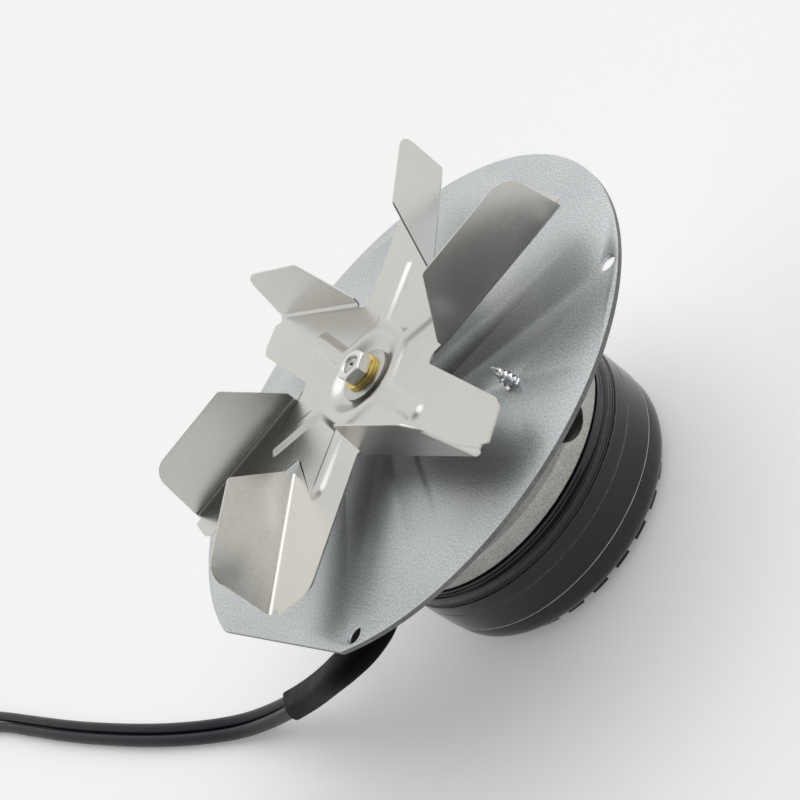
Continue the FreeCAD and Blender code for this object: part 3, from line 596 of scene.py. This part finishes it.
bpy.ops.transform.translate(value=(screw_place.x, screw_place.y, thread_start))
bpy.ops.object.mode_set(mode="OBJECT")
only(screw_core)
thread.select_set(True)
bpy.ops.object.join()
earth_screw = bpy.context.object
earth_screw.name = "earth_screw_turned"
bpy.ops.object.shade_smooth_by_angle(angle=math.radians(32))
dress(earth_screw, bright_zinc)
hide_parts("earth_screw")
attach(earth_screw, "motor_base")

tab = softened("earth_tab", "earth_tab_blade", 0.00012)
dress(tab, finish("tinned_brass", (0.58, 0.57, 0.53), (0.70, 0.69, 0.65), (0.25, 0.4), metallic=1.0,
                  cloud=200.0, grain=2200.0, bump=0.00001))
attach(tab, "motor_base")

# The motor's flange is an aluminium casting: an outer wall with four round-ended windows, a web
# with ribs and the bearing tube. Its skin is matte and slightly grainy from the die. A band round
# the wall next to the drum is painted lighter as painted light, and the wall next to the plate
# keeps the casting's darker tone, which is partly painted shade.
cast = finish("cast_aluminium", (0.24, 0.232, 0.215), (0.40, 0.388, 0.36), (0.36, 0.48),
              metallic=0.85, cloud=110.0, grain=1700.0, share=0.7, bump=0.00006)
lit_rim_band = finish("flange_band_painted_light", (0.36, 0.35, 0.325), (0.60, 0.585, 0.55), (0.34, 0.46),
                    metallic=0.85, cloud=110.0, grain=1500.0, share=0.7, bump=0.00004)
lit_band_start = -0.0322
lit_band_inside = 0.044
flange = softened("stator_flange", "motor_flange", 0.0004, segments=3, sharp=40.0)
bpy.ops.object.mode_set(mode="EDIT")
bpy.ops.mesh.select_all(action="SELECT")
bpy.ops.mesh.bisect(plane_co=(0, 0, lit_band_start), plane_no=(0, 0, 1))
bpy.ops.object.mode_set(mode="OBJECT")
bpy.ops.object.shade_smooth_by_angle(angle=math.radians(35))
dress(flange, cast)
flange.data.materials.append(lit_rim_band)
# Outward faces of the wall next to the drum get the painted light.
for face in flange.data.polygons:
    outward = face.center.to_2d().normalized().dot(face.normal.to_2d())
    if face.center.z < lit_band_start and outward > 0.7 and face.center.to_2d().length > lit_band_inside:
        face.material_index = 1
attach(flange, "motor_base")

# The rotor's drum is a steel cup, turned and painted black. It has a stepped, conical lip, two
# fine grooves and a fine line round it. Its rear edge is painted bright as a painted highlight,
# and thin lighter bands at two of the lip's steps and at the fine line are painted highlights too.
drum_radius = 0.0504
drum_outside = 0.0485
drum = lathe("rotor_drum_shell", [
    (0.0460, -0.0400), (0.0483, -0.0400), (0.0485, -0.04005), (0.0486, -0.0402),
    (0.0486, -0.0410), (0.0489, -0.0414), (0.0489, -0.0419), (0.0493, -0.0424),
    (0.0494, -0.0426), (0.0496, -0.0430), (0.0497, -0.0437), (0.0499, -0.0440),
    (0.0500, -0.0448), (0.0500, -0.04515), (0.04985, -0.0452), (0.04985, -0.0456),
    (0.0500, -0.04565), (0.0500, -0.04615), (0.04985, -0.0462), (0.04985, -0.0466),
    (0.0500, -0.04665), (0.05025, -0.0467), (drum_radius, -0.0469), (drum_radius, -0.0518),
    (0.05032, -0.0519), (0.05032, -0.0522), (drum_radius, -0.0523), (drum_radius, -0.0621),
    (drum_radius, -0.0624), (0.0502, -0.0625), (0.0460, -0.0625), (0.0460, -0.0400)], steps=192)
black_paint = finish("black_drum_paint", (0.011, 0.010, 0.015), (0.016, 0.015, 0.021), (0.14, 0.20),
                     cloud=40.0, grain=500.0, share=0.2, bump=0.000003)
seam_highlight = finish("drum_seam_painted_highlight", (0.36, 0.355, 0.35), (0.62, 0.615, 0.61), (0.30, 0.42),
                   metallic=0.9, cloud=200.0, grain=900.0, share=0.4, bump=0.000004)
step_highlight = finish("drum_step_painted_highlight", (0.075, 0.072, 0.080), (0.13, 0.125, 0.135), (0.22, 0.32),
                    cloud=200.0, grain=900.0, share=0.4, bump=0.000004)
dress(drum, black_paint)
drum.data.materials.append(seam_highlight)
drum.data.materials.append(step_highlight)
# Thin bands painted bright as highlights: the rear seam, and the lip's steps and fine line.
seam_highlight_bands = [(-0.06241, -0.0621)]
step_highlight_bands = [(-0.0440, -0.0437), (-0.0469, -0.04665), (-0.0523, -0.0518)]
for face in drum.data.polygons:
    height = face.center.z
    if face.center.to_2d().length > drum_outside:
        if any(low < height < high for low, high in seam_highlight_bands):
            face.material_index = 1
        elif any(low < height < high for low, high in step_highlight_bands):
            face.material_index = 2
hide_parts("rotor_drum")
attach(drum, "rotor")

# The rear cover closes the drum behind the seam's painted highlight. It is a black-painted casting
# with a ring of square-ended tabs round its foot, on which the fan stands.
cover = softened("rotor_cover", "rotor_rear_cover", 0.0003, sharp=35.0)
cover_paint = finish("black_cover_paint", (0.014, 0.013, 0.017), (0.022, 0.021, 0.026),
                     (0.16, 0.24), cloud=50.0, grain=700.0, share=0.3, bump=0.000006)
dress(cover, cover_paint)
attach(cover, "rotor")

# Inside the motor: laminated cores, moulded insulators, copper coils, the cast cage, ball
# bearings and their rings. They show only through the flange's windows and keep their plain form.
steel_stack = finish("stamped_steel", (0.20, 0.20, 0.21), (0.34, 0.34, 0.36), (0.3, 0.45),
                     metallic=1.0, cloud=30.0, grain=2500.0, stretch=(0.2, 0.2, 2.0), bump=0.00002)
cage_metal = finish("cage_aluminium", (0.55, 0.55, 0.56), (0.68, 0.68, 0.69), (0.35, 0.5),
                    metallic=1.0, cloud=120.0, grain=1800.0)
insulator = finish("slot_insulator", (0.60, 0.56, 0.46), (0.70, 0.66, 0.56), (0.45, 0.6),
                   cloud=90.0, grain=2000.0)
copper = finish("copper_wire", (0.42, 0.16, 0.06), (0.62, 0.27, 0.11), (0.22, 0.36), metallic=1.0,
                cloud=40.0, grain=2200.0, stretch=(1.0, 1.0, 0.15), bump=0.00008)
ground_steel = finish("ground_steel", (0.58, 0.58, 0.60), (0.72, 0.72, 0.74), (0.12, 0.22),
                      metallic=1.0, cloud=150.0, grain=2600.0, bump=0.000008)
spring_steel = finish("spring_steel", (0.05, 0.05, 0.055), (0.10, 0.10, 0.11), (0.3, 0.45),
                      metallic=1.0, cloud=200.0, grain=2600.0)
block_plastic = finish("terminal_plastic", (0.58, 0.58, 0.54), (0.68, 0.68, 0.64), (0.4, 0.55),
                       cloud=150.0, grain=2400.0)
for node, material in (
        ("stator_core", steel_stack), ("rotor_core", steel_stack), ("rotor_cage", cage_metal),
        ("insulator_front", insulator), ("insulator_rear", insulator), ("windings", copper),
        ("front_bearing_outer_ring", ground_steel), ("rear_bearing_outer_ring", ground_steel),
        ("front_bearing_inner_ring", ground_steel), ("rear_bearing_inner_ring", ground_steel),
        ("front_bearing_balls", ground_steel), ("rear_bearing_balls", ground_steel),
        ("bearing_circlip", spring_steel), ("shaft_clip", spring_steel),
        ("terminal_block", block_plastic)):
    dress(cad[node], material)

# The impeller is cut, embossed and folded from one 0.7 mm stainless sheet. Six flat arms carry
# six upright blades, and a hollow star round a dished hub stiffens the middle. The star is laid a
# hair under the sheet's face, so that its foot runs out into it.
sheet = 0.0007
sheet_front = 0.0120
rib_count = 6
rib_start = 97.7
rib_half = 0.0034
rib_end = 0.0440
star_flat = 0.0188
star_margin = 0.0013
star_lap = 0.00003
star_slope = 0.0030
star_rise = 0.00112
star_steps = 9
star_first_inset = 0.4
star_levels = 0.00001
sheet_clearing = 0.0007
sheet_slack = 0.0001
hub_clearing = 0.0150
dish_steps = 12
dish_floor = 0.0106
dish_foot = 0.0093
dish_rim = 0.0158
dish_seam = 0.0162
hub_bore = 0.0031


def smooth_step(share):
    """Soft S curve from 0 to 1."""
    return share * share * (3.0 - 2.0 * share)


def star_outline(inset):
    """Corners of the star, its round-ended ribs joined, a distance inside its foot line."""
    half = rib_half - inset
    flat = star_flat - inset
    near = (flat - half * math.sin(math.radians(30))) / math.cos(math.radians(30))
    middle = rib_end - rib_half
    points = []
    for index in range(rib_count):
        turn = math.radians(rib_start + 360.0 / rib_count * index)
        rib = [(near, -half)]
        for step in range(13):
            angle = math.radians(-90 + 15 * step)
            rib.append((middle + half * math.cos(angle), half * math.sin(angle)))
        rib.append((near, half))
        cosine, sine = math.cos(turn), math.sin(turn)
        points += [(x * cosine - y * sine, x * sine + y * cosine) for x, y in rib]
    return points


def within(corners, x, y):
    """True for a point inside the closed line through the corners."""
    inside = False
    for (ax, ay), (bx, by) in zip(corners, corners[1:] + corners[:1]):
        if (ay > y) != (by > y) and x < ax + (bx - ax) * (y - ay) / (by - ay):
            inside = not inside
    return inside


def remove_star(piece):
    """Takes the plain star and dish out of the sheet, and closes the cut with a wall."""
    corners = star_outline(-sheet_clearing)
    lowest, highest = sheet_front - sheet - sheet_slack, sheet_front + sheet_slack
    bpy.ops.mesh.select_all(action="DESELECT")
    bpy.ops.object.mode_set(mode="OBJECT")
    for face in piece.data.polygons:
        level = abs(face.normal.z) > 0.99 and lowest < face.center.z < highest
        if not level or face.center.to_2d().length < hub_clearing:
            face.select = within(corners, face.center.x, face.center.y)
    bpy.ops.object.mode_set(mode="EDIT")
    bpy.ops.mesh.select_mode(type="FACE")
    bpy.ops.mesh.delete(type="FACE")
    bpy.ops.mesh.select_mode(type="EDGE")
    bpy.ops.mesh.select_non_manifold()
    bpy.ops.mesh.bridge_edge_loops()
    bpy.ops.mesh.select_mode(type="VERT")


impeller = softened("impeller", "impeller_sheet", 0.00012, sharp=40.0, smooth=28.0,
                    trim=remove_star)

corners = star_outline(-star_margin)
bpy.ops.object.select_all(action="DESELECT")
bpy.ops.mesh.primitive_circle_add(vertices=len(corners), radius=rib_end, fill_type="NGON")
star = bpy.context.object
star.name = "impeller_star"
for vertex, (x, y) in zip(star.data.vertices, corners):
    vertex.co = (x, y, sheet_front - star_lap)
bpy.ops.object.mode_set(mode="EDIT")
bpy.ops.mesh.select_all(action="SELECT")
bpy.ops.mesh.normals_make_consistent(inside=False)
bpy.ops.object.mode_set(mode="OBJECT")
if star.data.polygons[0].normal.z < 0:
    bpy.ops.object.mode_set(mode="EDIT")
    bpy.ops.mesh.flip_normals()
bpy.ops.object.mode_set(mode="EDIT")
bpy.ops.mesh.inset(thickness=star_margin * star_first_inset, depth=0.0, use_even_offset=True)
for step in range(star_steps):
    rise = star_rise * (smooth_step((step + 1) / star_steps) - smooth_step(step / star_steps))
    bpy.ops.mesh.inset(thickness=star_slope / star_steps, depth=rise, use_even_offset=True)
bpy.ops.mesh.delete(type="ONLY_FACE")
bpy.ops.object.mode_set(mode="OBJECT")

star_top = sheet_front - star_lap + star_rise
dish_line = [(hub_bore, dish_floor), (dish_foot, dish_floor)]
for step in range(1, dish_steps + 1):
    share = step / dish_steps
    dish_line.append((dish_foot + (dish_rim - dish_foot) * share,
                      dish_floor + (star_top - dish_floor) * smooth_step(share)))
dish_line.append((dish_seam, star_top))
dish = lathe("impeller_dish", dish_line)
only(star)
dish.select_set(True)
bpy.ops.object.join()
bpy.ops.object.mode_set(mode="EDIT")
bpy.ops.mesh.select_all(action="DESELECT")
bpy.ops.object.mode_set(mode="OBJECT")
sides = {}
for face in star.data.polygons:
    for key in face.edge_keys:
        sides[key] = sides.get(key, 0) + 1
for line in star.data.edges:
    heights = [star.data.vertices[corner].co.z for corner in line.vertices]
    line.select = sides.get(line.key, 0) < 2 and min(heights) > star_top - star_levels
bpy.ops.object.mode_set(mode="EDIT")
bpy.ops.mesh.select_mode(type="EDGE")
bpy.ops.mesh.fill(use_beauty=True)
bpy.ops.mesh.select_mode(type="VERT")
bpy.ops.mesh.select_all(action="SELECT")
bpy.ops.mesh.normals_make_consistent(inside=False)
bpy.ops.object.mode_set(mode="OBJECT")
if sum(face.normal.z * face.area for face in star.data.polygons) < 0:
    bpy.ops.object.mode_set(mode="EDIT")
    bpy.ops.mesh.flip_normals()
    bpy.ops.object.mode_set(mode="OBJECT")
wall = star.modifiers.new("wall", "SOLIDIFY")
wall.thickness = sheet
wall.offset = -1.0
bpy.ops.object.modifier_apply(modifier="wall")

for piece, weight in ((star, 50), (impeller, 90)):
    only(piece)
    bpy.ops.object.shade_smooth_by_angle(angle=math.radians(28))
    even = piece.modifiers.new("even_normals", "WEIGHTED_NORMAL")
    even.mode = "FACE_AREA"
    even.weight = weight
    even.keep_sharp = True
    bpy.ops.object.modifier_apply(modifier="even_normals")
star.select_set(True)
bpy.ops.object.join()
stainless = finish("stainless_sheet", (0.585, 0.575, 0.545), (0.66, 0.65, 0.62), (0.23, 0.31),
                   metallic=1.0, cloud=14.0, grain=320.0, share=0.25, bump=0.000002,
                   contrast=(0.3, 0.7))
dress(impeller, stainless)
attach(impeller, "rotor")

# The impeller is clamped between two plain turned washers, whose upright sides are painted darker
# as painted shade. A yellow-passivated flat washer and a split spring washer lie under the nut.
turned_steel = finish("turned_steel", (0.52, 0.515, 0.49), (0.62, 0.615, 0.59), (0.30, 0.42),
                      metallic=1.0, cloud=20.0, grain=1800.0, stretch=(1.0, 1.0, 6.0), bump=0.00002)
yellow_zinc = finish("yellow_zinc", (0.62, 0.46, 0.11), (0.84, 0.70, 0.30), (0.28, 0.42),
                     metallic=0.95, cloud=260.0, grain=900.0, share=0.3, bump=0.000004)
washer_side_painted_shade = finish("washer_side_painted_shade", (0.20, 0.195, 0.18), (0.32, 0.31, 0.29), (0.35, 0.5),
                     metallic=0.9, cloud=200.0, grain=1500.0, bump=0.00001)
for node, name, width, material, slot in (
        ("lower_clamp_washer", "clamp_washer_under", 0.00012, turned_steel, "turned_steel"),
        ("upper_clamp_washer", "clamp_washer_over", 0.00012, turned_steel, "turned_steel"),
        ("flat_washer", "plain_washer", 0.00015, yellow_zinc, "yellow_zinc"),
        ("spring_washer", "split_washer", 0.00012, yellow_zinc, "yellow_zinc")):
    piece = softened(node, name, width)
    dress(piece, material)
    if slot == "turned_steel":
        # The upright sides get the painted shade.
        piece.data.materials.append(washer_side_painted_shade)
        for face in piece.data.polygons:
            if abs(face.normal.z) < 0.5:
                face.material_index = 1
    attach(piece, "rotor")

# The M6 nut is cold formed and zinc plated: a hexagon 10 mm across its flats, whose corners are
# turned off at 30 degrees at both ends, with a countersunk bore.
nut_flats = 0.010
nut_low = 0.0135
nut_high = 0.0178
nut_bore = 0.0030
nut_turn = math.radians(-17.0)
nut_face_circle = 0.0047
nut_countersink_low = 0.0004
nut_countersink_high = 0.0005
form_past_nut = 0.001
chamfer_slope = math.tan(math.radians(30.0))
nut_corner = nut_flats / 2 / math.cos(math.radians(30.0))
chamfer = nut_corner - nut_face_circle
fall = (chamfer + form_past_nut) * chamfer_slope
middle = (nut_low + nut_high) / 2
bpy.ops.object.select_all(action="DESELECT")
bpy.ops.mesh.primitive_cylinder_add(vertices=6, radius=nut_corner, depth=nut_high - nut_low,
                                    location=(0, 0, middle))
nut = bpy.context.object
nut.name = "hexagon_nut"
bpy.ops.object.transform_apply(location=True, rotation=True, scale=True)
nut_form = lathe("nut_form", [
    (nut_bore, nut_low + nut_countersink_low), (nut_bore + nut_countersink_low, nut_low),
    (nut_face_circle, nut_low), (nut_corner + form_past_nut, nut_low + fall),
    (nut_corner + form_past_nut, nut_high - fall), (nut_face_circle, nut_high),
    (nut_bore + nut_countersink_high, nut_high), (nut_bore, nut_high - nut_countersink_high),
    (nut_bore, nut_low + nut_countersink_low)])
only(nut)
bpy.ops.object.mode_set(mode="EDIT")
bpy.ops.mesh.select_all(action="SELECT")
first_corner = math.atan2(nut.data.vertices[0].co.y, nut.data.vertices[0].co.x)
bpy.ops.transform.rotate(value=first_corner - nut_turn, orient_axis="Z", center_override=(0, 0, 0))
bpy.ops.object.mode_set(mode="OBJECT")
carve(nut, nut_form, "INTERSECT")
round_edges(nut, 0.00010, 2, 25)
bpy.ops.object.shade_smooth_by_angle(angle=math.radians(24))
nut_zinc = finish("nut_zinc", (0.74, 0.73, 0.70), (0.88, 0.87, 0.84), (0.34, 0.48), metallic=0.9,
                  cloud=240.0, grain=900.0, share=0.3, bump=0.000004)
dress(nut, nut_zinc)
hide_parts("hub_nut")
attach(nut, "rotor")

# The shaft is a turned steel bar, 8 mm thick and 6 mm at its threaded end, which shows inside the
# nut. The end still has the small centre hole that it was turned on.
shaft_end = 0.0172
shaft_steel = finish("shaft_steel", (0.42, 0.415, 0.40), (0.58, 0.575, 0.56), (0.22, 0.34),
                     metallic=1.0, cloud=60.0, grain=1800.0, stretch=(1.0, 1.0, 6.0), bump=0.00002)
shaft = softened("shaft", "shaft_turned", 0.00035, sharp=50.0)
centre_drill = lathe("centre_drill", [
    (0.0, shaft_end - 0.0022), (0.0006, shaft_end - 0.0018), (0.0006, shaft_end - 0.0008),
    (0.0013, shaft_end + 0.0002), (0.0, shaft_end + 0.0002)], steps=48)
carve(shaft, centre_drill)
bpy.ops.object.shade_smooth_by_angle(angle=math.radians(30))
dress(shaft, shaft_steel)
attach(shaft, "rotor")
